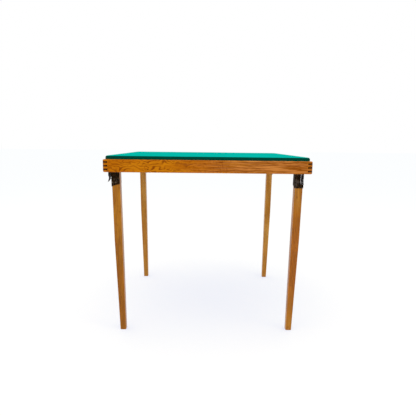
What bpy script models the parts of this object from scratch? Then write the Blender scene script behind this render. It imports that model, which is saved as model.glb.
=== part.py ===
"""Folding card table: a baize-covered board on a finger-jointed oak frame, with four folding legs.

Metres, +Z up, origin on the floor under the centre of the top, front towards -Y. The four corners
are the same assembly turned by quarter turns, so each leg folds along its own rail, tip to tail.
A corner is drawn round its leg's pivot: +X is the way the leg folds, +Y runs along the pivot pin.
"""

import math

import bmesh
import bpy
from mathutils import Matrix, Vector

# Frame
FRAME_WIDTH = 0.762
RAIL_HEIGHT = 0.0466
RAIL_THICKNESS = 0.018
RAIL_TOP = 0.673
FINGERS = 7
FRAME_CORNER_RADIUS = 0.0075
FRAME_ARRIS = 0.0045
FINGER_GAP = 0.00012

# Top
TABLE_HEIGHT = 0.686
BAIZE_INSET = 0.0052
BAIZE_THICKNESS = 0.0015
BAIZE_CORNER_RADIUS = 0.025
BAIZE_EDGE_RADIUS = 0.0075
GAP = 0.0003

# Legs
LEG_WIDTH = 0.0295
LEG_INSET = 0.02575
LEG_OUTER_TAPER = 0.0062
LEG_INNER_TAPER = 0.0013
LEG_LEAN = 0.0135
LEG_ARRIS = 0.0015
TAPER_START = 0.37
PIVOT_HEIGHT = 0.650
LEG_ABOVE_PIVOT = 0.009

# Leg hardware
SOCKET_STEEL = 0.0018
SOCKET_BOTTOM = -0.0777
SOCKET_TOP = 0.006
SOCKET_BEND = 0.0032
FLANGE_RISE = 0.0095
HANGER_STEEL = 0.0016
HANGER_TOP = 0.0228
PIN_RADIUS = 0.0025
RIVET_RADIUS = 0.0016
LATCH_STEEL = 0.0009
LATCH_WIDTH = 0.011
LATCH_SIDE = -0.0065
LATCH_RIVET_HEIGHT = -0.015
LATCH_FACE = -0.0198
LATCH_DEPTH = 0.0075

HALF_FRAME = FRAME_WIDTH / 2
HALF_INSIDE = HALF_FRAME - RAIL_THICKNESS
RAIL_BOTTOM = RAIL_TOP - RAIL_HEIGHT
HALF_LEG = LEG_WIDTH / 2
LEG_CENTRE = HALF_FRAME - LEG_INSET - HALF_LEG
RAIL_FACE = LEG_CENTRE - HALF_INSIDE
SOCKET_INSIDE = HALF_LEG + GAP
SOCKET_OUTSIDE = SOCKET_INSIDE + SOCKET_STEEL
CHEEK_INSIDE = SOCKET_OUTSIDE + GAP
CHEEK_OUTSIDE = CHEEK_INSIDE + HANGER_STEEL

CORNERS = ("front_left", "front_right", "back_right", "back_left")
RIVET_PLACES = ((-0.0120, -0.0620), (-0.0002, -0.0620))
RAIL_SCREW_PLACES = (-0.011, 0.011)
RAIL_SCREW_HEIGHT = 0.004
BOARD_SCREW_REACH = 0.027


# --- shapes -------------------------------------------------------------------------------------


def mesh_from(points, faces):
    """A closed mesh with its faces turned outwards."""
    mesh = bpy.data.meshes.new("shape")
    mesh.from_pydata([tuple(p) for p in points], [], faces)
    shape = bmesh.new()
    shape.from_mesh(mesh)
    bmesh.ops.recalc_face_normals(shape, faces=shape.faces)
    shape.to_mesh(mesh)
    shape.free()
    return mesh


def loft(rings):
    """Joins rings of equal length, one after the other, and caps the two ends."""
    count = len(rings[0])
    points = [p for ring in rings for p in ring]
    faces = [tuple(range(count)), tuple(range(len(points) - count, len(points)))]
    for level in range(len(rings) - 1):
        for i in range(count):
            j = (i + 1) % count
            low = level * count
            faces.append((low + i, low + j, low + count + j, low + count + i))
    return mesh_from(points, faces)


def box(low, high):
    ring = [(low[0], low[1]), (high[0], low[1]), (high[0], high[1]), (low[0], high[1])]
    return loft([[(x, y, z) for x, y in ring] for z in (low[2], high[2])])


def prism_along_y(outline, low, high):
    """An outline in X and Z, extruded along Y."""
    return loft([[(x, y, z) for x, z in outline] for y in (low, high)])


def prism_along_x(outline, low, high):
    """An outline in Y and Z, extruded along X."""
    return loft([[(x, y, z) for y, z in outline] for x in (low, high)])


def prism_along_z(outline, low, high):
    return loft([[(x, y, z) for x, y in outline] for z in (low, high)])


def turned(profile, axis, centre, segments):
    """A solid of revolution. The profile holds (radius, distance along the axis) pairs."""
    along = Vector(axis)
    side = along.orthogonal().normalized()
    other = along.cross(side)
    rings = []
    for radius, distance in profile:
        ring = []
        for i in range(segments):
            angle = 2 * math.pi * i / segments
            out = side * math.cos(angle) + other * math.sin(angle)
            ring.append(Vector(centre) + along * distance + out * radius)
        rings.append(ring)
    return loft(rings)


def rounded_rectangle(low, high, radius, steps):
    """Points round a rectangle with rounded corners, anticlockwise."""
    centres = (
        (high[0] - radius, high[1] - radius, 0.0),
        (low[0] + radius, high[1] - radius, 0.5),
        (low[0] + radius, low[1] + radius, 1.0),
        (high[0] - radius, low[1] + radius, 1.5),
    )
    points = []
    for x, y, start in centres:
        for i in range(steps + 1):
            angle = math.pi * (start + 0.5 * i / steps)
            points.append((x + radius * math.cos(angle), y + radius * math.sin(angle)))
    return points


def rounded_slab(half, radius, steps, levels):
    """A rounded square lofted through (height, inset) levels."""
    rings = []
    for height, inset in levels:
        reach = half - inset
        ring = rounded_rectangle((-reach, -reach), (reach, reach), radius - inset, steps)
        rings.append([(x, y, height) for x, y in ring])
    return loft(rings)


def rounded_edge(top, radius, steps):
    """The (height, inset) levels of an edge rounded over, rising to the top."""
    levels = []
    for i in range(steps + 1):
        angle = math.pi / 2 * i / steps
        levels.append((top - radius * (1 - math.sin(angle)), radius * (1 - math.cos(angle))))
    return levels


def bent_strip(path, thickness):
    """The outline of a strip of steel along a path of (x, z) points, its thickness to the path's left."""
    left = []
    for i, point in enumerate(path):
        here = Vector(point)
        before = Vector(path[max(i - 1, 0)])
        after = Vector(path[min(i + 1, len(path) - 1)])
        into = (here - before).normalized() if i else (after - here).normalized()
        out = (after - here).normalized() if i < len(path) - 1 else into
        normal = Vector((-into.y - out.y, into.x + out.x)).normalized()
        stretch = thickness / max(normal.dot(Vector((-into.y, into.x))), 0.3)
        left.append(tuple(here + normal * stretch))
    return list(path) + left[::-1]


def combine(mesh, other, operation):
    """The exact Boolean of two meshes."""
    base = bpy.data.objects.new("base", mesh)
    tool = bpy.data.objects.new("tool", other)
    for helper in (base, tool):
        bpy.context.scene.collection.objects.link(helper)
    boolean = base.modifiers.new("boolean", "BOOLEAN")
    boolean.operation = operation
    boolean.solver = "EXACT"
    boolean.object = tool
    graph = bpy.context.evaluated_depsgraph_get()
    result = bpy.data.meshes.new_from_object(base.evaluated_get(graph))
    for helper in (base, tool):
        bpy.data.objects.remove(helper)
    return result


def leaned(mesh):
    """A leg leans inwards a little both ways, its cross-sections and its foot staying level."""
    lean = Matrix.Identity(4)
    lean[0][2] = -LEG_LEAN
    lean[1][2] = -LEG_LEAN
    mesh.transform(lean)
    return mesh


def drilled(mesh, holes):
    for hole in holes:
        mesh = combine(mesh, hole, "DIFFERENCE")
    return mesh


def hole(radius, axis, centre, reach, segments=16):
    """A drill whose flats, not its corners, stand at the radius."""
    corner = radius / math.cos(math.pi / segments)
    return turned(((corner, -reach), (corner, reach)), axis, centre, segments)


# --- materials ----------------------------------------------------------------------------------


def material(name, colour, roughness, metallic):
    made = bpy.data.materials.new(name)
    made.use_nodes = True
    shader = made.node_tree.nodes["Principled BSDF"]
    shader.inputs["Base Color"].default_value = (*colour, 1.0)
    shader.inputs["Roughness"].default_value = roughness
    shader.inputs["Metallic"].default_value = metallic
    return made


def add(name, mesh, made_of, place, smooth_angle=None):
    """One named piece of the table."""
    part = bpy.data.objects.new(name, mesh)
    bpy.context.scene.collection.objects.link(part)
    part.matrix_world = place
    mesh.materials.clear()
    mesh.materials.append(made_of)
    if smooth_angle is not None:
        mesh.shade_smooth()
        mesh.set_sharp_from_angle(angle=math.radians(smooth_angle))
    return part


# --- frame and top ------------------------------------------------------------------------------


def finger_outline(reach_of_band):
    """A rail's face, with its ends stepped band by band. Reach is the half length of each band."""
    pitch = RAIL_HEIGHT / FINGERS
    right = []
    for band in range(FINGERS):
        reach, shift = reach_of_band(band)
        low = RAIL_BOTTOM + band * pitch
        high = low + pitch
        right.append((reach, low - shift if band else low))
        right.append((reach, high + shift if band < FINGERS - 1 else high))
    return right + [(-x, z) for x, z in right[::-1]]


def front_band(band):
    half_gap = FINGER_GAP / 2
    if band % 2:
        return HALF_INSIDE - FINGER_GAP, half_gap
    return HALF_FRAME + 0.01, -half_gap


def side_band(band):
    half_gap = FINGER_GAP / 2
    if band % 2:
        return HALF_FRAME + 0.01, -half_gap
    return HALF_INSIDE - FINGER_GAP, half_gap


def frame_envelope():
    """The frame's rounded outside, solid, which trims the rails' ends and edges."""
    top = rounded_edge(RAIL_TOP, FRAME_ARRIS, 4)
    bottom = [(RAIL_BOTTOM + RAIL_TOP - height, inset) for height, inset in top[::-1]]
    return rounded_slab(HALF_FRAME, FRAME_CORNER_RADIUS, 4, bottom + top)


def rail_pilot_holes(turn):
    """Pilot holes for the hanger screws, turned to the rail they go into."""
    holes = []
    for side in RAIL_SCREW_PLACES:
        centre = Vector((-HALF_INSIDE, -LEG_CENTRE + side, PIVOT_HEIGHT + RAIL_SCREW_HEIGHT))
        drill = hole(0.0015, (1, 0, 0), centre, 0.013, 12)
        drill.transform(turn)
        holes.append(drill)
    return holes


def front_rail():
    rail = prism_along_y(finger_outline(front_band), -HALF_FRAME - 0.01, -HALF_INSIDE)
    rail = combine(rail, frame_envelope(), "INTERSECT")
    return drilled(rail, rail_pilot_holes(Matrix.Rotation(math.pi / 2, 4, "Z")))


def left_rail():
    rail = prism_along_x(finger_outline(side_band), -HALF_FRAME - 0.01, -HALF_INSIDE)
    rail = combine(rail, frame_envelope(), "INTERSECT")
    return drilled(rail, rail_pilot_holes(Matrix.Identity(4)))


def board():
    half = HALF_FRAME - BAIZE_INSET - BAIZE_THICKNESS - GAP
    radius = BAIZE_CORNER_RADIUS - BAIZE_THICKNESS - GAP
    top = TABLE_HEIGHT - BAIZE_THICKNESS - GAP
    edge = rounded_edge(top, BAIZE_EDGE_RADIUS - BAIZE_THICKNESS - GAP, 4)
    slab = rounded_slab(half, radius, 6, [(RAIL_TOP + GAP, 0.0)] + edge)
    drills = []
    for corner in range(4):
        turn = Matrix.Rotation(corner * math.pi / 2, 4, "Z")
        centre = Vector((BOARD_SCREW_REACH - LEG_CENTRE, -LEG_CENTRE, RAIL_TOP + GAP))
        drill = hole(0.0015, (0, 0, 1), centre, 0.0075, 12)
        drill.transform(turn)
        drills.append(drill)
    return drilled(slab, drills)


def baize_cover():
    """The felt, drawn over the board's top and down its edges."""
    half = HALF_FRAME - BAIZE_INSET
    bottom = RAIL_TOP + GAP
    outside = rounded_edge(TABLE_HEIGHT, BAIZE_EDGE_RADIUS, 4)
    lining = rounded_edge(TABLE_HEIGHT - BAIZE_THICKNESS, BAIZE_EDGE_RADIUS - BAIZE_THICKNESS, 4)
    inside = [(height, inset + BAIZE_THICKNESS) for height, inset in lining[::-1]]
    levels = inside + [(bottom, BAIZE_THICKNESS), (bottom, 0.0)] + outside
    return rounded_slab(half, BAIZE_CORNER_RADIUS, 6, levels)


# --- one corner, round its pivot ----------------------------------------------------------------


def leg():
    """A square leg, plain at the top and tapered below, more on its two outer faces."""
    levels = (
        (LEG_ABOVE_PIVOT, 0.0, 0.001),
        (LEG_ABOVE_PIVOT - 0.001, 0.0, 0.0),
        (TAPER_START - PIVOT_HEIGHT, 0.0, 0.0),
        (0.0012 - PIVOT_HEIGHT, 1.0, 0.0),
        (-PIVOT_HEIGHT, 1.0, 0.0012),
    )
    rings = []
    for height, taper, inset in levels:
        outer = HALF_LEG - taper * LEG_OUTER_TAPER - inset
        inner = HALF_LEG - taper * LEG_INNER_TAPER - inset
        ring = rounded_rectangle((-outer, -outer), (inner, inner), LEG_ARRIS, 3)
        rings.append([(x, y, height) for x, y in ring])
    holes = [hole(PIN_RADIUS + 0.0003, (0, 1, 0), (0, 0, 0), 0.03, 20)]
    for x, z in RIVET_PLACES:
        holes.append(hole(RIVET_RADIUS + 0.0002, (0, 1, 0), (x, 0, z), 0.03))
    return drilled(loft(rings), holes)


def socket():
    """The pressed U that holds the leg: a web on its outer side and a flange down each cheek."""
    outside = rounded_rectangle(
        (-SOCKET_OUTSIDE, -SOCKET_OUTSIDE), (0.05, SOCKET_OUTSIDE), SOCKET_BEND, 4
    )
    inside = rounded_rectangle(
        (-SOCKET_INSIDE, -SOCKET_INSIDE), (0.06, SOCKET_INSIDE), LEG_ARRIS - 0.0002, 3
    )
    shell = prism_along_z(outside, SOCKET_BOTTOM, SOCKET_TOP)
    shell = combine(shell, prism_along_z(inside, SOCKET_BOTTOM - 0.01, SOCKET_TOP + 0.01), "DIFFERENCE")
    mouth = HALF_LEG - 0.0002
    shell = combine(shell, box((mouth, -0.05, -0.2), (0.1, 0.05, 0.1)), "DIFFERENCE")
    slope = [
        (-SOCKET_INSIDE, SOCKET_BOTTOM - 0.01),
        (-SOCKET_INSIDE, SOCKET_BOTTOM),
        (-0.004, SOCKET_BOTTOM + 0.0048),
        (mouth - 0.0035, SOCKET_BOTTOM + FLANGE_RISE - 0.0008),
        (mouth + 0.001, SOCKET_BOTTOM + FLANGE_RISE + 0.0012),
        (mouth + 0.001, SOCKET_BOTTOM - 0.01),
    ]
    shell = combine(shell, prism_along_y(slope, -0.05, 0.05), "DIFFERENCE")
    slot = box(
        (-0.03, LATCH_SIDE - 0.0042, -0.0522), (-SOCKET_INSIDE + 0.004, LATCH_SIDE + 0.0042, -0.0462)
    )
    shell = combine(shell, slot, "DIFFERENCE")
    holes = [hole(PIN_RADIUS + 0.00008, (0, 1, 0), (0, 0, 0), 0.03, 24)]
    for x, z in RIVET_PLACES:
        holes.append(hole(RIVET_RADIUS + 0.0002, (0, 1, 0), (x, 0, z), 0.03))
    return drilled(shell, holes)


def hanger():
    """The bracket on the frame: a plate under the board, an end against the rail and two cheeks."""
    end = RAIL_FACE + 0.0002
    path = [
        (end, LATCH_RIVET_HEIGHT - 0.003),
        (end, HANGER_TOP - 0.003),
        (end + 0.0009, HANGER_TOP - 0.0009),
        (end + 0.003, HANGER_TOP),
        (0.034, HANGER_TOP),
    ]
    outline = bent_strip(path[::-1], HANGER_STEEL - 0.0003)
    plate = prism_along_y(outline, -CHEEK_OUTSIDE, CHEEK_OUTSIDE)
    cheek_outline = [(-0.013, HANGER_TOP - 0.0005), (-0.013, 0.002)]
    for i in range(9):
        angle = math.pi * (1.0 + i / 8)
        cheek_outline.append((0.0095 * math.cos(angle), 0.0095 * math.sin(angle)))
    cheek_outline += [(0.013, 0.002), (0.013, HANGER_TOP - 0.0005)]
    for side in (-1, 1):
        low, high = sorted((side * CHEEK_INSIDE, side * (CHEEK_OUTSIDE - 0.0001)))
        plate = combine(plate, prism_along_y(cheek_outline, low, high), "UNION")
    drills = [
        hole(PIN_RADIUS + 0.00008, (0, 1, 0), (0, 0, 0), 0.03, 24),
        hole(0.0019, (0, 0, 1), (BOARD_SCREW_REACH, 0, HANGER_TOP), 0.006),
        hole(0.0017, (1, 0, 0), (end, LATCH_SIDE, LATCH_RIVET_HEIGHT), 0.004, 12),
    ]
    for side in RAIL_SCREW_PLACES:
        drills.append(hole(0.0019, (1, 0, 0), (end, side, RAIL_SCREW_HEIGHT), 0.004))
    return drilled(plate, drills)


def pivot_pin():
    """A rivet with a domed head on each side of the hanger."""
    cheek = CHEEK_OUTSIDE + 0.0002
    profile = (
        (0.0012, -cheek - 0.0017),
        (0.0030, -cheek - 0.0013),
        (0.0041, -cheek - 0.0004),
        (0.0041, -cheek),
        (PIN_RADIUS, -cheek),
        (PIN_RADIUS, cheek),
        (0.0041, cheek),
        (0.0041, cheek + 0.0004),
        (0.0030, cheek + 0.0013),
        (0.0012, cheek + 0.0017),
    )
    return turned(profile, (0, 1, 0), (0, 0, 0), 24)


def socket_rivet(x, z):
    face = SOCKET_OUTSIDE + 0.0002
    profile = (
        (0.0012, -face - 0.0011),
        (0.0025, -face - 0.0007),
        (0.0031, -face),
        (RIVET_RADIUS, -face),
        (RIVET_RADIUS, face),
        (0.0031, face),
        (0.0025, face + 0.0007),
        (0.0012, face + 0.0011),
    )
    return turned(profile, (0, 1, 0), (x, 0, z), 16)


def latch():
    """A sprung catch: a blade on the hanger, deep ears under the rail, a nib and a thumb tail."""
    hinge = Vector((LATCH_FACE - LATCH_STEEL / 2, 0, LATCH_RIVET_HEIGHT))
    path = [
        (LATCH_FACE, LATCH_RIVET_HEIGHT + 0.006),
        (LATCH_FACE, -0.040),
        (LATCH_FACE - 0.0008, -0.0450),
        (LATCH_FACE - 0.0010, -0.0510),
        (LATCH_FACE - 0.0034, -0.0548),
        (LATCH_FACE - 0.0066, -0.0590),
        (LATCH_FACE - 0.0094, -0.0612),
    ]
    outline = bent_strip(path[::-1], LATCH_STEEL)
    low = LATCH_SIDE - LATCH_WIDTH / 2
    high = LATCH_SIDE + LATCH_WIDTH / 2
    blade = prism_along_y(outline, low, high)
    outer = LATCH_FACE - LATCH_DEPTH
    ear = [
        (LATCH_FACE + 0.0010, -0.0262),
        (outer + 0.0012, -0.0252),
        (outer, -0.0266),
        (outer, -0.0372),
        (outer + 0.0016, -0.0420),
        (outer + 0.0024, -0.0470),
        (outer + 0.0006, -0.0530),
        (outer - 0.0010, -0.0585),
        (outer + 0.0012, -0.0592),
        (LATCH_FACE - 0.0036, -0.0542),
        (LATCH_FACE - 0.0008, -0.0480),
        (LATCH_FACE + 0.0010, -0.0400),
    ]
    for start in (low + 0.0001, high - 0.0012):
        blade = combine(blade, prism_along_y(ear, start, start + 0.0011), "UNION")
    nib = [
        (LATCH_FACE - 0.0014, -0.0500),
        (LATCH_FACE - 0.0014, -0.0486),
        (-SOCKET_INSIDE - 0.0002, -0.0484),
        (-SOCKET_INSIDE - 0.0001, -0.0492),
        (-SOCKET_INSIDE - 0.0010, -0.0500),
    ]
    blade = combine(blade, prism_along_y(nib, LATCH_SIDE - 0.003, LATCH_SIDE + 0.003), "UNION")
    drill = hole(0.0019, (1, 0, 0), (LATCH_FACE, LATCH_SIDE, LATCH_RIVET_HEIGHT), 0.004)
    blade = drilled(blade, [drill])
    blade.transform(Matrix.Translation(-hinge))
    return blade, hinge


def latch_rivet():
    """Fixed in the hanger's end, with its head on the blade."""
    back = RAIL_FACE + 0.0005
    head = LATCH_FACE + 0.0004
    profile = (
        (0.0015, back),
        (0.0015, head),
        (0.0026, head),
        (0.0022, head + 0.0008),
        (0.0010, head + 0.0012),
    )
    return turned(profile, (1, 0, 0), (0, LATCH_SIDE, LATCH_RIVET_HEIGHT), 14)


def screw(length, across):
    """A slotted pan-head screw, its head's underside at the origin and its shank along +Z."""
    profile = (
        (0.0014, -0.0018),
        (0.0026, -0.0014),
        (0.0032, -0.0006),
        (0.0032, 0.0),
        (0.0012, 0.0),
        (0.0012, length - 0.002),
        (0.0004, length),
    )
    body = turned(profile, (0, 0, 1), (0, 0, 0), 16)
    if across:
        slot = box((-0.0004, -0.01, -0.004), (0.0004, 0.01, -0.0010))
    else:
        slot = box((-0.01, -0.0004, -0.004), (0.01, 0.0004, -0.0010))
    return combine(body, slot, "DIFFERENCE")


def build():
    for old in list(bpy.data.objects):
        bpy.data.objects.remove(old)

    oak = material("oak", (0.50, 0.24, 0.07), 0.45, 0.0)
    ply = material("plywood", (0.60, 0.45, 0.28), 0.7, 0.0)
    felt = material("green_baize", (0.0, 0.42, 0.34), 0.95, 0.0)
    bronze = material("bronzed_steel", (0.05, 0.035, 0.02), 0.45, 0.8)
    spring = material("spring_steel", (0.06, 0.055, 0.05), 0.4, 0.9)
    bright = material("rivet_steel", (0.16, 0.13, 0.10), 0.4, 0.9)

    fixed = Matrix.Identity(4)
    half_turn = Matrix.Rotation(math.pi, 4, "Z")
    add("front_rail", front_rail(), oak, fixed)
    add("back_rail", front_rail(), oak, half_turn)
    add("left_rail", left_rail(), oak, fixed)
    add("right_rail", left_rail(), oak, half_turn)
    add("top_board", board(), ply, fixed)
    add("baize_cover", baize_cover(), felt, fixed, 50)

    blade, hinge = latch()
    leg_shape = leaned(leg())
    socket_shape = leaned(socket())
    hanger_shape = hanger()
    pin_shape = pivot_pin()
    blade_rivet = latch_rivet()
    rivets = [leaned(socket_rivet(x, z)) for x, z in RIVET_PLACES]
    rail_screw = screw(0.011, True)
    board_screw = screw(0.0078, False)
    to_rail = Matrix.Rotation(-math.pi / 2, 4, "Y")
    screw_seat = RAIL_FACE + HANGER_STEEL + 0.0002
    for index, corner in enumerate(CORNERS):
        turn = Matrix.Rotation(index * math.pi / 2, 4, "Z")
        place = turn @ Matrix.Translation((-LEG_CENTRE, -LEG_CENTRE, PIVOT_HEIGHT))
        add(corner + "_leg", leg_shape.copy(), oak, place, 40)
        add(corner + "_leg_socket", socket_shape.copy(), bronze, place, 35)
        add(corner + "_hanger", hanger_shape.copy(), bronze, place, 35)
        add(corner + "_pivot_rivet", pin_shape.copy(), bright, place, 40)
        add(corner + "_latch", blade.copy(), spring, place @ Matrix.Translation(hinge), 30)
        add(corner + "_latch_rivet", blade_rivet.copy(), bright, place, 40)
        for number, rivet in enumerate(rivets, 1):
            add(f"{corner}_socket_rivet_{number}", rivet.copy(), bright, place, 40)
        for number, side in enumerate(RAIL_SCREW_PLACES, 1):
            seat = Matrix.Translation((screw_seat, side, RAIL_SCREW_HEIGHT))
            name = f"{corner}_rail_screw_{number}"
            add(name, rail_screw.copy(), bright, place @ seat @ to_rail, 40)
        seat = Matrix.Translation((BOARD_SCREW_REACH, 0, HANGER_TOP - HANGER_STEEL - 0.0002))
        add(corner + "_board_screw", board_screw.copy(), bright, place @ seat, 40)


build()
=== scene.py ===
"""The looks of the folding card table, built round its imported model.

Metres, in the model's own frame: +Z up, front towards -Y, origin on the floor under the middle.
"""

import math

import bmesh
import bpy
from mathutils import Matrix, Vector, noise


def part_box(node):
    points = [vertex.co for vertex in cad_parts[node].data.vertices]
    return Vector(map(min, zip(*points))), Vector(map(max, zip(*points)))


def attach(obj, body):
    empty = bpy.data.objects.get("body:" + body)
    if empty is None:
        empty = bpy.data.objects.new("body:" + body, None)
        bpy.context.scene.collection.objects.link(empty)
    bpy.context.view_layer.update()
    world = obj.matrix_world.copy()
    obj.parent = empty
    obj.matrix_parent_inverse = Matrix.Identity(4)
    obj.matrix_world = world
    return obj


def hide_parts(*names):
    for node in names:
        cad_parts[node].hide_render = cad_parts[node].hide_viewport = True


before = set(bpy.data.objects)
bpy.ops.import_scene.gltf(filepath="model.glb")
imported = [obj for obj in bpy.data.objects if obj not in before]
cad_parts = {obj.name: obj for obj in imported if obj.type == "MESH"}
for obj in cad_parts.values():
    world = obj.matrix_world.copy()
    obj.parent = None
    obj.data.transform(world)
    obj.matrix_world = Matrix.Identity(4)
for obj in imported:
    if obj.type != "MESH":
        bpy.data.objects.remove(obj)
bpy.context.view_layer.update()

RAILS = ("front_rail", "back_rail", "left_rail", "right_rail")
FASTENERS = ("pivot_rivet", "latch_rivet", "socket_rivet_1", "socket_rivet_2", "rail_screw_1",
             "rail_screw_2", "board_screw")

# The camera: where it stands, how it is turned, and its lens.
CAMERA_PLACE = Vector((-0.0195, -1.8577, 0.7322))
CAMERA_YAW = math.radians(0.829)
CAMERA_PITCH = math.radians(9.961)
CAMERA_ROLL = math.radians(0.673)
CAMERA_LENS = 35.13
CAMERA_SENSOR = 36.0
CAMERA_SHIFT_UP = 0.0168

# Lights: where each stands, what it aims at, how wide it is and its power in watts.
OVERHEAD_LIGHT = ((-0.5, -0.4, 3.2), (0.0, 0.0, 0.6), 3.0, 20.0)
RIGHT_FRONT_LIGHT = ((2.6, -1.9, 1.5), (0.0, 0.0, 0.5), 1.6, 12.0)

# The floor runs on far past the table. Where the table takes away the light, its bluish glow is
# what is left, and in full light its yellowish base makes that up to white.
FLOOR_REACH = 40.0
FLOOR_BASE = (0.56, 0.44, 0.20, 1.0)
FLOOR_GLOW = (0.415, 0.55, 0.80, 1.0)

# Widths of the small bevels on the CAD pieces' hard edges.
RAIL_BEVEL = 0.0004
STEEL_BEVEL = 0.00022
BEVEL_FROM = math.radians(40)

# The cloth: its thickness, the radius down its edge and the radius of its corners seen from above.
CLOTH_THICKNESS = 0.0013
CLOTH_EDGE_RADIUS = 0.0075
CLOTH_CORNER_RADIUS = 0.025

# Oak tones: the ring lines, the body and the light wood.
GOLDEN = ((0.210, 0.042, 0.0010), (0.475, 0.136, 0.0012), (0.600, 0.208, 0.0040))
QUIET = ((0.310, 0.080, 0.0020), *GOLDEN[1:])
BROWN = ((0.120, 0.026, 0.001), (0.325, 0.104, 0.001), (0.450, 0.176, 0.006))
WARM = ((0.150, 0.036, 0.001), (0.395, 0.138, 0.002), (0.525, 0.226, 0.024))
TAN = ((0.215, 0.072, 0.002), (0.465, 0.196, 0.014), (0.605, 0.310, 0.060))

# From the table's middle to the middle of a rail's thickness.
RAIL_MIDDLE = 0.372

# The front rail's two knots: their X, their height and their size.
FRONT_KNOTS = ((-0.219, 0.637, 0.0016), (0.334, 0.643, 0.0013))

# Each leg's oak, in order round the table: its tones, its seed and its ruddy stretch.
LEGS = {
    "front_left": (BROWN, 2.3, (0.06, 0.20, 0.25)),
    "front_right": (WARM, 4.0, (0.28, 0.26, 0.75)),
    "back_right": (TAN, 5.7, (0.05, 0.20, 0.30)),
    "back_left": (TAN, 7.4, (0.20, 0.20, 0.25)),
}
LEG_VARNISH = 0.35

# Browned steel in two copies that take turns from corner to corner, each with its light tone and
# its painted glint; the second copy is lighter, with greyer, brighter painted glints.
BRONZES = (
    ((0.032, 0.015, 0.003), (0.130, 0.090, 0.058)),
    ((0.040, 0.020, 0.006), (0.200, 0.165, 0.145)),
)


# --- shader graphs ------------------------------------------------------------------------------


class Graph:
    """A material's node tree, with one short method for each kind of node used here."""

    def __init__(self, name):
        self.material = bpy.data.materials.new(name)
        self.material.use_nodes = True
        self.tree = self.material.node_tree
        self.shader = self.tree.nodes["Principled BSDF"]
        coordinates = self.tree.nodes.new("ShaderNodeTexCoord")
        self.place = coordinates.outputs["Object"]
        self.normal = coordinates.outputs["Normal"]

    def put(self, socket, value):
        """Link another node's output to the socket, or set the socket's own value."""
        if isinstance(value, bpy.types.NodeSocket):
            self.tree.links.new(value, socket)
        elif value is not None:
            socket.default_value = value

    def node(self, kind, inputs, **settings):
        made = self.tree.nodes.new(kind)
        for key, value in settings.items():
            setattr(made, key, value)
        for key, value in inputs.items():
            self.put(made.inputs[key], value)
        return made

    def math(self, operation, a, b=None, c=None):
        return self.node("ShaderNodeMath", {0: a, 1: b, 2: c}, operation=operation).outputs[0]

    def times(self, a, b):
        return self.math("MULTIPLY", a, b)

    def apart(self, a, b):
        """How far a is from b, either way."""
        return self.math("ABSOLUTE", self.math("SUBTRACT", a, b))

    def split(self, vector):
        made = self.node("ShaderNodeSeparateXYZ", {"Vector": vector})
        return made.outputs["X"], made.outputs["Y"], made.outputs["Z"]

    def join(self, x, y, z):
        return self.node("ShaderNodeCombineXYZ", {"X": x, "Y": y, "Z": z}).outputs[0]

    def noise(self, vector, scale=1.0, detail=2.0, roughness=0.5, distortion=0.0):
        inputs = {
            "Vector": vector,
            "Scale": scale,
            "Detail": detail,
            "Roughness": roughness,
            "Distortion": distortion,
        }
        return self.node("ShaderNodeTexNoise", inputs).outputs["Fac"]

    def ramp(self, factor, stops):
        """A grey for each place along the factor, with straight lines between them."""
        made = self.node("ShaderNodeValToRGB", {"Fac": factor})
        ramp = made.color_ramp
        while len(ramp.elements) < len(stops):
            ramp.elements.new(0.5)
        for element, (place, grey) in zip(ramp.elements, stops):
            element.position = place
            element.color = (grey, grey, grey, 1.0)
        return made.outputs["Color"]

    def span(self, value, low, high, to_low=0.0, to_high=1.0):
        """Value from low to high, mapped smoothly and clamped."""
        inputs = {
            "Value": value,
            "From Min": low,
            "From Max": high,
            "To Min": to_low,
            "To Max": to_high,
        }
        made = self.node("ShaderNodeMapRange", inputs, interpolation_type="SMOOTHSTEP")
        return made.outputs["Result"]

    def mix(self, factor, a, b):
        """Colour a where the factor is nought and b where it is one.

        A Mix node's colours are its inputs 6 and 7 and its output 2.
        """
        a, b = ((*value, 1.0) if isinstance(value, tuple) else value for value in (a, b))
        made = self.node("ShaderNodeMix", {}, data_type="RGBA")
        for key, value in (("Factor", factor), (6, a), (7, b)):
            self.put(made.inputs[key], value)
        return made.outputs[2]

    def bump(self, height, strength, distance):
        inputs = {"Height": height, "Strength": strength, "Distance": distance}
        return self.node("ShaderNodeBump", inputs).outputs["Normal"]

    def edges(self, radius):
        """One along convex and concave edges within the radius, nought on the flats."""
        rounded = self.node("ShaderNodeBevel", {"Radius": radius}, samples=4).outputs[0]
        flat = self.node("ShaderNodeNewGeometry", {}).outputs["Normal"]
        alike = self.node("ShaderNodeVectorMath", {0: rounded, 1: flat}, operation="DOT_PRODUCT")
        return self.span(alike.outputs["Value"], 0.995, 0.86)

    def finish(self, **sockets):
        for key, value in sockets.items():
            self.put(self.shader.inputs[key.replace("_", " ")], value)
        return self.material


def scaled(colour, factor):
    return tuple(channel * factor for channel in colour)


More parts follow.
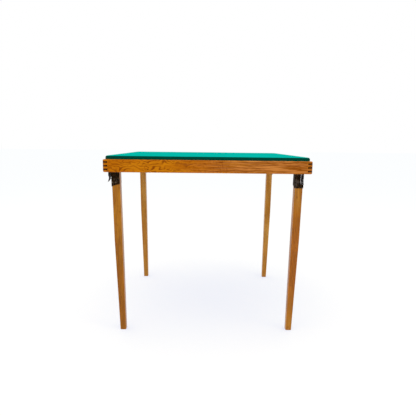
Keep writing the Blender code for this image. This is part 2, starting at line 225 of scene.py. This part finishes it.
def oak(name, grain, spacing, swirl, tones, seed, wild_to=None, ends=None, knots=(), ruddy=None,
        varnish=0.0):
    """Oak as solid wood: growth rings cut into figure, with pores along the grain.

    grain is the axis that the fibres follow. The rings are contours, spacing apart, of a slowly
    wandering field: swirl is how far they wander, all along the piece or, with wild_to, only left
    of that X, past which the wood runs straight and redder. tones are the ring lines, the body
    and the light wood. knots are places along and across the grain, with their sizes. On a rail,
    ends is how far the middle of its thickness lies from the table's middle: its end grain is
    paler there. ruddy is a stretch of redder wood: its middle along the grain, its reach and its
    strength. varnish is the weight of a clear coat.
    """
    g = Graph(name)
    x, y, z = g.split(g.place)
    nx, ny, nz = g.split(g.normal)
    along, across, depth = {"X": (x, z, y), "Y": (y, z, x), "Z": (z, x, y)}[grain]
    facing = {"X": nx, "Y": ny, "Z": nz}[grain]
    dark, body, light = tones
    slope = 0.55
    knot_length = 0.45

    def streaks(along_scale, across_scale, detail, roughness, distortion=0.0):
        """Noise drawn out along the grain, from nought to one."""
        at = g.join(
            g.math("MULTIPLY_ADD", along, along_scale, seed),
            g.times(across, across_scale),
            g.times(depth, across_scale),
        )
        return g.noise(at, 1.0, detail, roughness, distortion)

    # The rings: a field that rises across the wood and, by the slope, through its depth, bent by
    # noise and lifted round each knot, whose rings are drawn out along the grain.
    reach = swirl
    if wild_to is not None:
        reach = g.span(x, wild_to - 0.05, wild_to + 0.10, swirl, swirl * 0.16)
    wander = g.math("SUBTRACT", streaks(26.0, 34.0, 1.5, 0.45, 0.5), 0.5)
    field = g.math("MULTIPLY_ADD", wander, reach, g.math("MULTIPLY_ADD", depth, slope, across))
    tremble = g.math("SUBTRACT", streaks(9.0, 260.0, 2.0, 0.5), 0.5)
    field = g.math("MULTIPLY_ADD", tremble, spacing * 0.22, field)
    knotty = None
    for knot_along, knot_across, size in knots:
        off_along = g.times(g.math("SUBTRACT", along, knot_along), knot_length)
        off_across = g.math("SUBTRACT", across, knot_across)
        squares = g.math("ADD", g.times(off_along, off_along), g.times(off_across, off_across))
        away = g.math("SQRT", squares)
        field = g.math("ADD", field, g.span(away, 0.0, size * 5.0, spacing * 2.4, 0.0))
        heart = g.span(away, size * 0.5, size, 1.0, 0.0)
        knotty = heart if knotty is None else g.math("MAXIMUM", knotty, heart)
    ring = g.math("FRACT", g.math("ADD", g.math("DIVIDE", field, spacing), seed))
    early = g.ramp(ring, ((0.0, 0.1), (0.12, 1.0), (0.34, 0.8), (0.52, 0.06), (1.0, 0.0)))
    strength = g.span(streaks(11.0, 30.0, 2.0, 0.5), 0.34, 0.58, 0.30, 1.0)
    early = g.times(early, strength)

    fibres = streaks(14.0, 420.0, 3.0, 0.6)
    pores = g.span(streaks(60.0, 1500.0, 1.0, 0.5), 0.58, 0.70)
    pores = g.times(pores, g.math("MULTIPLY_ADD", early, 0.7, 0.3))
    clouds = streaks(6.0, 24.0, 3.0, 0.55)
    flecks = g.span(streaks(40.0, 170.0, 2.0, 0.5), 0.63, 0.72)

    # The long grain, from its broad clouds down to its pores.
    colour = g.mix(g.span(clouds, 0.34, 0.66), body, light)
    if ruddy is not None:
        middle, stretch, strongest = ruddy
        ragged = g.math("SUBTRACT", fibres, 0.5)
        off_middle = g.math("MULTIPLY_ADD", ragged, 0.5 * stretch, g.apart(along, middle))
        redness = g.span(off_middle, stretch, stretch * 0.3, 0.0, strongest)
        redder_body = tuple(channel * kept for channel, kept in zip(body, (0.96, 0.70, 0.50)))
        colour = g.mix(redness, colour, redder_body)
    colour = g.mix(early, colour, dark)
    colour = g.mix(g.span(fibres, 0.34, 0.72, 0.0, 0.40), colour, dark)
    colour = g.mix(g.times(flecks, 0.60), colour, dark)
    if wild_to is not None:
        fine_bands = g.times(streaks(8.0, 130.0, 3.0, 0.62, 0.9), 0.45)
        bands = g.math("MULTIPLY_ADD", streaks(16.0, 300.0, 2.0, 0.6, 0.5), 0.55, fine_bands)
        bands = g.span(bands, 0.42, 0.58)
        straight = g.mix(bands, (0.16, 0.036, 0.005), (0.58, 0.230, 0.064))
        redder = g.mix(0.66, colour, straight)
        colour = g.mix(g.span(x, wild_to - 0.10, wild_to + 0.25, 0.0, 0.9), colour, redder)
        chatter = g.span(streaks(300.0, 75.0, 1.0, 0.5), 0.58, 0.68)
        near = g.span(g.apart(x, wild_to + 0.06), 0.05, 0.13, 0.55, 0.0)
        colour = g.mix(g.times(chatter, near), colour, dark)
    colour = g.mix(g.times(pores, 0.7), colour, scaled(dark, 0.3))
    if knotty is not None:
        colour = g.mix(g.times(knotty, 0.85), colour, scaled(dark, 0.35))
    # Painted highlight: the wood is lightened along its edges and arrises.
    colour = g.mix(g.times(g.edges(0.0040), 0.60), colour, scaled(light, 1.30))

    # The end grain, on faces across the fibres. Its mask starts early on the side rails, so that
    # it takes in the rounded edges of the fingers that show at the front.
    starts, whole = (0.34, 0.66) if grain == "Y" else (0.62, 0.90)
    end = g.span(g.math("ABSOLUTE", facing), starts, whole)
    end_wood = g.mix(early, (0.052, 0.010, 0.002), (0.018, 0.004, 0.001))
    speckle = g.noise(g.place, 1100.0, 2.0)
    end_wood = g.mix(g.span(speckle, 0.52, 0.66, 0.0, 0.7), end_wood, (0.085, 0.024, 0.006))
    if ends is not None:
        outward = g.math("ABSOLUTE", x if grain == "Y" else y)
        pale = g.span(g.apart(outward, ends), 0.001, 0.006, 0.45, 0.0)
        end_wood = g.mix(pale, end_wood, (0.11, 0.030, 0.006))
    colour = g.mix(end, colour, end_wood)

    height = g.math("MULTIPLY_ADD", fibres, 0.35, g.times(early, -0.25))
    height = g.math("MULTIPLY_ADD", pores, -0.9, height)
    rough = g.math("MULTIPLY_ADD", pores, 0.22, g.span(clouds, 0.3, 0.7, 0.42, 0.54))
    return g.finish(
        Base_Color=colour,
        Roughness=rough,
        Specular_IOR_Level=0.07,
        Specular_Tint=(1.0, 0.62, 0.20, 1.0),
        Coat_Weight=varnish,
        Coat_Roughness=0.22,
        Sheen_Weight=0.45,
        Sheen_Roughness=0.28,
        Sheen_Tint=(1.0, 0.84, 0.76, 1.0),
        Normal=g.bump(height, 0.30, 0.0004),
    )


def baize():
    """Napped wool cloth with a soft sheen: bright on the flat, and dark down the rounded edge by
    painted shade.
    """
    g = Graph("baize_cloth")
    x, y, z = g.split(g.place)
    up = g.split(g.normal)[2]
    nap = g.noise(g.place, 1900.0, 3.0, 0.65)
    tufts = g.noise(g.place, 420.0, 3.0, 0.6)
    worn = g.noise(g.place, 9.0, 4.0, 0.6, 0.4)
    brushed = g.noise(g.join(g.times(x, 6.0), g.times(y, 42.0), z), 1.0, 3.0)
    colour = g.mix(g.span(worn, 0.30, 0.72), (0.0006, 0.375, 0.300), (0.0008, 0.445, 0.372))
    colour = g.mix(g.span(brushed, 0.35, 0.70, 0.0, 0.30), colour, (0.0010, 0.500, 0.440))
    colour = g.mix(g.span(nap, 0.30, 0.75, 0.0, 0.30), colour, (0.0004, 0.19, 0.145))
    colour = g.mix(g.span(tufts, 0.55, 0.75, 0.0, 0.25), colour, (0.003, 0.47, 0.42))
    # Painted shade: the cloth is darkened where it turns from the flat down its rounded edge and
    # sides.
    side = g.span(up, 0.985, 0.80)
    edge = g.mix(g.span(tufts, 0.35, 0.70), (0.0004, 0.038, 0.022), (0.0006, 0.066, 0.042))
    colour = g.mix(side, colour, edge)
    height = g.math("ADD", nap, g.times(tufts, 0.8))
    return g.finish(
        Base_Color=colour,
        Roughness=g.span(worn, 0.3, 0.7, 0.88, 0.98),
        Specular_IOR_Level=0.0,
        Sheen_Weight=0.02,
        Sheen_Roughness=0.5,
        Sheen_Tint=(0.05, 0.9, 0.8, 1.0),
        Normal=g.bump(height, 0.55, 0.0005),
    )


def steel(name, dark, light, glint, rough, metallic, gloss, scale=160.0, streaked=None):
    """Oxidised, handled steel: mottled brown-black, with painted highlights in patches and flecks,
    fine lighter scratches, and edges lightened partly by wear and partly as painted highlight.

    dark and light are the mottling's tones, glint is the painted highlight's bare-metal colour, and
    scale is the mottling's. streaked is the axis, 0 for X or 1 for Y, whose faces get painted
    highlights in upright streaks.
    """
    g = Graph(name)
    mottle = g.noise(g.place, scale, 4.0, 0.65, 0.5)
    blotch = g.noise(g.place, scale * 0.35, 3.0, 0.6, 0.8)
    fleck = g.noise(g.place, scale * 1.6, 2.0, 0.5, 0.6)
    grain = g.noise(g.place, 1400.0, 2.0)
    wear_and_glint_edges = g.times(g.edges(0.0007), g.span(blotch, 0.40, 0.60))
    colour = g.mix(g.span(mottle, 0.40, 0.64), dark, light)
    # Painted highlights: pale glint patches and flecks.
    colour = g.mix(g.span(blotch, 0.54, 0.66, 0.0, 0.45), colour, scaled(glint, 0.6))
    colour = g.mix(g.span(fleck, 0.64, 0.72, 0.0, 0.60), colour, glint)
    colour = g.mix(g.span(grain, 0.60, 0.75, 0.0, 0.35), colour, scaled(light, 1.8))
    # Painted highlight: upright glint streaks on the faces that look along the streaked axis.
    if streaked is not None:
        x, y, z = g.split(g.place)
        upright = g.join(g.times(x, 320.0), g.times(y, 320.0), g.times(z, 46.0))
        streak = g.noise(upright, 1.0, 2.0, 0.55, 0.4)
        facing = g.math("ABSOLUTE", g.split(g.normal)[streaked])
        painted_glint_streaks = g.times(g.span(facing, 0.6, 0.9, 0.0, 0.9), g.span(streak, 0.52, 0.62))
        colour = g.mix(painted_glint_streaks, colour, scaled(glint, 2.0))
    # Edges lightened toward the glint colour: part wear, part painted highlight.
    colour = g.mix(g.times(wear_and_glint_edges, 0.8), colour, glint)
    return g.finish(
        Base_Color=colour,
        Metallic=metallic,
        Specular_IOR_Level=gloss,
        Roughness=g.span(mottle, 0.3, 0.7, rough - 0.08, rough + 0.12),
        Normal=g.bump(g.math("MULTIPLY_ADD", grain, 0.4, mottle), 0.35, 0.0004),
    )


def plywood():
    """Thin birch ply: pale face veneer on the flats, glued layers at the edge."""
    g = Graph("birch_ply")
    x, y, z = g.split(g.place)
    up = g.math("ABSOLUTE", g.split(g.normal)[2])
    long_grain = g.noise(g.join(g.times(x, 6.0), g.times(y, 90.0), z), 1.0, 4.0, 0.6)
    fine = g.noise(g.join(g.times(x, 40.0), g.times(y, 900.0), z), 1.0, 2.0)
    colour = g.mix(g.span(long_grain, 0.30, 0.70), (0.36, 0.21, 0.10), (0.52, 0.34, 0.18))
    colour = g.mix(g.span(fine, 0.55, 0.75, 0.0, 0.5), colour, (0.20, 0.11, 0.05))
    layers_a_metre = 460.0
    layers = g.span(g.math("FRACT", g.times(z, layers_a_metre)), 0.42, 0.58)
    layered = g.mix(layers, (0.42, 0.27, 0.14), (0.19, 0.10, 0.045))
    colour = g.mix(g.span(up, 0.7, 0.4), colour, layered)
    return g.finish(
        Base_Color=colour,
        Roughness=g.span(fine, 0.3, 0.7, 0.62, 0.78),
        Specular_IOR_Level=0.25,
        Normal=g.bump(fine, 0.2, 0.0003),
    )


# --- the baize ----------------------------------------------------------------------------------


def rounded_square(half, radius, straight_steps=44, corner_steps=14):
    """Points round a rounded square, anticlockwise, each with how far it is into a corner."""
    points = []
    inner = half - radius
    for quarter in range(4):
        turn = Matrix.Rotation(quarter * math.pi / 2, 2)
        for i in range(straight_steps):
            points.append((turn @ Vector((half, inner * (2 * i / straight_steps - 1))), 0.0))
        for i in range(corner_steps):
            angle = math.pi / 2 * i / corner_steps
            spot = Vector((inner + radius * math.cos(angle), inner + radius * math.sin(angle)))
            points.append((turn @ spot, math.sin(2 * angle)))
    return points


def cloth_lift(x, y):
    """The slight unevenness of cloth glued to a board."""
    slow = noise.noise(Vector((x * 5.0, y * 5.0, 1.7)))
    quick = noise.noise(Vector((x * 23.0, y * 23.0, 4.1)))
    return 0.00009 * slow + 0.00004 * quick


def cloth_profile(top, bottom, edge_steps=8):
    """Insets and heights of the rings from the flat's rim round the edge and down the side."""
    profile = []
    for i in range(edge_steps + 1):
        angle = math.pi / 2 * i / edge_steps
        inset = CLOTH_EDGE_RADIUS * (1 - math.sin(angle))
        profile.append((inset, top - CLOTH_EDGE_RADIUS * (1 - math.cos(angle))))
    skirt = profile[-1][1]
    for share in (0.25, 0.5, 0.75, 1.0):
        profile.append((0.0, skirt + (bottom - skirt) * share))
    return profile


def baize_cover(cad_low, cad_high):
    """The cloth over the board: uneven by a hair, rounded at the edge, tucked at the corners."""
    half = cad_high.x
    top, bottom = cad_high.z, cad_low.z
    wave_depth, tuck_depth = 0.00022, 0.0004
    shape = bmesh.new()
    rings = []
    rim = rounded_square(half - CLOTH_EDGE_RADIUS, CLOTH_CORNER_RADIUS - CLOTH_EDGE_RADIUS)
    for share in (0.03, 0.12, 0.22, 0.33, 0.44, 0.55, 0.65, 0.74, 0.82, 0.88, 0.925, 0.955, 0.975,
                  0.988):
        ring = []
        for spot, _ in rim:
            x, y = spot * share
            ring.append(shape.verts.new((x, y, top + cloth_lift(x, y))))
        rings.append(ring)
    for inset, height in cloth_profile(top, bottom):
        ring = []
        drop = (top - height) / (top - bottom)
        for spot, cornered in rounded_square(half - inset, CLOTH_CORNER_RADIUS - inset):
            wave = noise.noise(Vector((spot.x * 26, spot.y * 26, height * 60)))
            tuck = cornered * math.sin(cornered * 3 * math.pi) * tuck_depth * drop
            out = spot.normalized() * (wave * wave_depth * drop + tuck)
            lift = cloth_lift(spot.x, spot.y) * (1 - drop)
            ring.append(shape.verts.new((spot.x + out.x, spot.y + out.y, height + lift)))
        rings.append(ring)
    shape.faces.new(rings[0])
    for inner_ring, outer_ring in zip(rings, rings[1:]):
        for i in range(len(rim)):
            j = (i + 1) % len(rim)
            shape.faces.new((inner_ring[i], outer_ring[i], outer_ring[j], inner_ring[j]))
    bmesh.ops.recalc_face_normals(shape, faces=shape.faces)
    mesh = bpy.data.meshes.new("baize_cloth")
    shape.to_mesh(mesh)
    shape.free()
    mesh.shade_smooth()
    cloth = bpy.data.objects.new("baize_cloth", mesh)
    bpy.context.scene.collection.objects.link(cloth)
    solid = cloth.modifiers.new("thickness", "SOLIDIFY")
    solid.thickness = CLOTH_THICKNESS
    solid.offset = -1.0
    return cloth


# --- scene --------------------------------------------------------------------------------------


def dress(names, material):
    for name in names:
        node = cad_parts[name]
        node.data.materials.clear()
        node.data.materials.append(material)


def soften(names, width):
    """A small bevel on the hard edges of a CAD piece."""
    for name in names:
        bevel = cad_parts[name].modifiers.new("soft_edges", "BEVEL")
        bevel.width = width
        bevel.segments = 2
        bevel.limit_method = "ANGLE"
        bevel.angle_limit = BEVEL_FROM
        bevel.harden_normals = False


def make_camera():
    forward = Vector((
        math.sin(CAMERA_YAW) * math.cos(CAMERA_PITCH),
        math.cos(CAMERA_YAW) * math.cos(CAMERA_PITCH),
        -math.sin(CAMERA_PITCH),
    ))
    level = Vector((math.cos(CAMERA_YAW), -math.sin(CAMERA_YAW), 0.0))
    upright = level.cross(forward)
    right = level * math.cos(CAMERA_ROLL) + upright * math.sin(CAMERA_ROLL)
    up = -level * math.sin(CAMERA_ROLL) + upright * math.cos(CAMERA_ROLL)
    data = bpy.data.cameras.new("camera")
    data.lens = CAMERA_LENS
    data.sensor_width = CAMERA_SENSOR
    data.shift_y = CAMERA_SHIFT_UP
    camera = bpy.data.objects.new("camera", data)
    bpy.context.scene.collection.objects.link(camera)
    turn = Matrix((right, up, -forward)).transposed().to_4x4()
    camera.matrix_world = Matrix.Translation(CAMERA_PLACE) @ turn
    bpy.context.scene.camera = camera


def make_floor():
    mesh = bpy.data.meshes.new("floor")
    sides = ((-1, -1), (1, -1), (1, 1), (-1, 1))
    corners = [(x * FLOOR_REACH, y * FLOOR_REACH, 0) for x, y in sides]
    mesh.from_pydata(corners, [], [(0, 1, 2, 3)])
    floor = bpy.data.objects.new("floor", mesh)
    bpy.context.scene.collection.objects.link(floor)
    mesh.materials.append(Graph("studio_floor").finish(
        Base_Color=FLOOR_BASE,
        Roughness=0.9,
        Specular_IOR_Level=0.0,
        Emission_Color=FLOOR_GLOW,
        Emission_Strength=1.0,
    ))


def area_light(name, place, aim, width, power):
    data = bpy.data.lights.new(name, "AREA")
    data.shape = "SQUARE"
    data.size = width
    data.energy = power
    light = bpy.data.objects.new(name, data)
    bpy.context.scene.collection.objects.link(light)
    light.location = place
    light.rotation_mode = "QUATERNION"
    light.rotation_quaternion = (Vector(aim) - Vector(place)).to_track_quat("-Z", "Y")


def make_lights():
    world = bpy.data.worlds.new("studio")
    bpy.context.scene.world = world
    world.use_nodes = True
    background = world.node_tree.nodes["Background"]
    background.inputs["Color"].default_value = (1.0, 1.0, 1.0, 1.0)
    background.inputs["Strength"].default_value = 1.0
    area_light("overhead", *OVERHEAD_LIGHT)
    area_light("right_front", *RIGHT_FRONT_LIGHT)


def dress_wood():
    dress(["front_rail"], oak("oak_front", "X", spacing=0.0105, swirl=0.055, tones=GOLDEN, seed=3.7,
                              wild_to=-0.06, ends=RAIL_MIDDLE, knots=FRONT_KNOTS))
    dress(["back_rail"], oak("oak_back", "X", spacing=0.0085, swirl=0.030, tones=QUIET, seed=8.1,
                             wild_to=0.25, ends=RAIL_MIDDLE))
    dress(["left_rail"], oak("oak_left", "Y", spacing=0.0090, swirl=0.026, tones=QUIET, seed=5.3,
                             ends=RAIL_MIDDLE))
    dress(["right_rail"], oak("oak_right", "Y", spacing=0.0080, swirl=0.014, tones=QUIET, seed=1.9,
                              ends=RAIL_MIDDLE))
    for corner, (tones, seed, ruddy) in LEGS.items():
        wood = oak(f"oak_{corner}", "Z", spacing=0.0052, swirl=0.0075, tones=tones, seed=seed,
                   ruddy=ruddy, varnish=LEG_VARNISH)
        dress([f"{corner}_leg"], wood)
    soften(RAILS, RAIL_BEVEL)
    dress(["top_board"], plywood())


def dress_steel():
    bronze = [
        steel(f"bronzed_steel_{index}", dark=(0.0014, 0.0008, 0.0004), light=light, glint=glint,
              rough=0.55, metallic=0.0, gloss=0.04)
        for index, (light, glint) in enumerate(BRONZES)
    ]
    # Two copies of the spring steel, taking turns from corner to corner: each paints its glint
    # streaks on the faces that look along its own axis.
    spring = [
        steel(f"spring_steel_{axis}", dark=(0.0025, 0.0023, 0.0026), light=(0.016, 0.014, 0.015),
              glint=(0.34, 0.33, 0.33), rough=0.45, metallic=0.05, gloss=0.08, streaked=axis)
        for axis in (0, 1)
    ]
    rivet = steel("rivet_steel", dark=(0.030, 0.020, 0.012), light=(0.110, 0.080, 0.052),
                  glint=(0.30, 0.24, 0.18), rough=0.42, metallic=0.30, gloss=0.20, scale=420.0)
    for index, corner in enumerate(LEGS):
        sheets = [f"{corner}_leg_socket", f"{corner}_hanger"]
        latch = f"{corner}_latch"
        dress(sheets, bronze[index % 2])
        dress([latch], spring[index % 2])
        dress([f"{corner}_{part}" for part in FASTENERS], rivet)
        soften([*sheets, latch], STEEL_BEVEL)


def lay_cloth():
    low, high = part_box("baize_cover")
    cloth = baize_cover(low, high)
    cloth.data.materials.append(baize())
    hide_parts("baize_cover")
    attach(cloth, "frame")


def main():
    bpy.context.scene.view_settings.view_transform = "Standard"
    make_camera()
    make_floor()
    make_lights()
    dress_wood()
    dress_steel()
    lay_cloth()


main()
